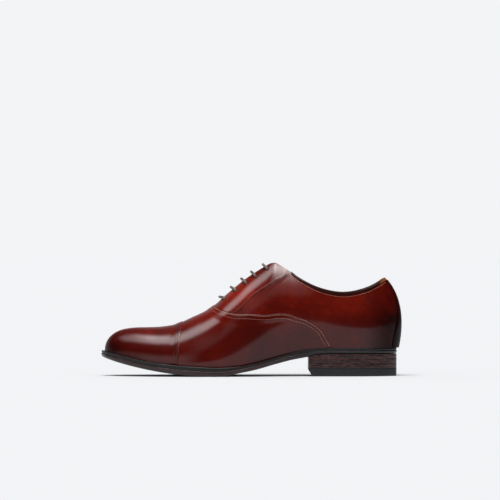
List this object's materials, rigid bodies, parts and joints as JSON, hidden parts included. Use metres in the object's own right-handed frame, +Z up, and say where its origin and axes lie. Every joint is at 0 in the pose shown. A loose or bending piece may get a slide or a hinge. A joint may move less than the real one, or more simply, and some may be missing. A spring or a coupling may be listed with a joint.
{
  "type": "leather oxford shoe",
  "caption": "Left leather oxford shoe with a plain toe cap, closed lacing over a tongue, curved vamp seam, welted leather sole and stacked heel with a rubber top piece.",
  "frame": {"origin": "centre of the bounding box in plan, on the floor", "axes": "the toe points to -X and the heel to +X, the outer side of the left foot faces -Y, +Z is up"},
  "size_m": [0.3004, 0.1023, 0.1126],
  "materials": {
    "toe_cap": "polished leather, dark at the tip",
    "vamp": "polished leather",
    "quarter_lateral": "polished leather",
    "quarter_medial": "polished leather",
    "facing_lateral": "polished leather, lighter along the lacing",
    "facing_medial": "polished leather, lighter along the lacing",
    "backstay": "polished leather",
    "collar_binding": "rolled edge, satin",
    "vamp_lining": "smooth tan lining leather",
    "toe_puff": "stiffened cloth",
    "quarter_lining_lateral": "smooth tan lining leather",
    "quarter_lining_medial": "smooth tan lining leather",
    "heel_counter": "stiff board leather",
    "tongue": "polished leather",
    "tongue_lining": "smooth tan lining leather",
    "outsole": "dark dyed and burnished edge",
    "welt": "black dyed edge",
    "cork_filler": "pressed cork",
    "shank": "spring steel",
    "insole_board": "natural board leather",
    "sock": "smooth tan lining leather",
    "heel_lift_1": "stacked leather, streaked",
    "heel_lift_2": "stacked leather, streaked",
    "heel_lift_3": "stacked leather, streaked",
    "top_piece": "black rubber",
    "lace": "round waxed cord",
    "lace_end_lateral": "round waxed cord",
    "lace_end_medial": "round waxed cord",
    "aglet_lateral": "clear-dark sleeve",
    "aglet_medial": "clear-dark sleeve"
  },
  "bodies": {
    "shoe": {"toe_cap": "toe_cap", "vamp": "vamp", "quarter_lateral": "quarter_lateral", "quarter_medial": "quarter_medial", "facing_lateral": "facing_lateral", "facing_medial": "facing_medial", "backstay": "backstay", "collar_binding": "collar_binding", "vamp_lining": "vamp_lining", "toe_puff": "toe_puff", "quarter_lining_lateral": "quarter_lining_lateral", "quarter_lining_medial": "quarter_lining_medial", "heel_counter": "heel_counter", "outsole": "outsole", "welt": "welt", "cork_filler": "cork_filler", "shank": "shank", "insole_board": "insole_board", "sock": "sock", "heel_lift_1": "heel_lift_1", "heel_lift_2": "heel_lift_2", "heel_lift_3": "heel_lift_3", "top_piece": "top_piece", "lace": "lace", "lace_end_lateral": "lace_end_lateral", "lace_end_medial": "lace_end_medial", "aglet_lateral": "aglet_lateral", "aglet_medial": "aglet_medial"},
    "tongue_flap": {"tongue": "tongue", "tongue_lining": "tongue_lining"}
  },
  "joints": [
    {"name": "tongue_tilt", "type": "hinge", "parent": "shoe", "child": "tongue_flap", "pos_m": [-0.0305, 0, 0.066], "axis": [0, 1, 0], "range_deg": [0, 15], "stiffness_Nm_per_rad": 0.3}
  ]
}
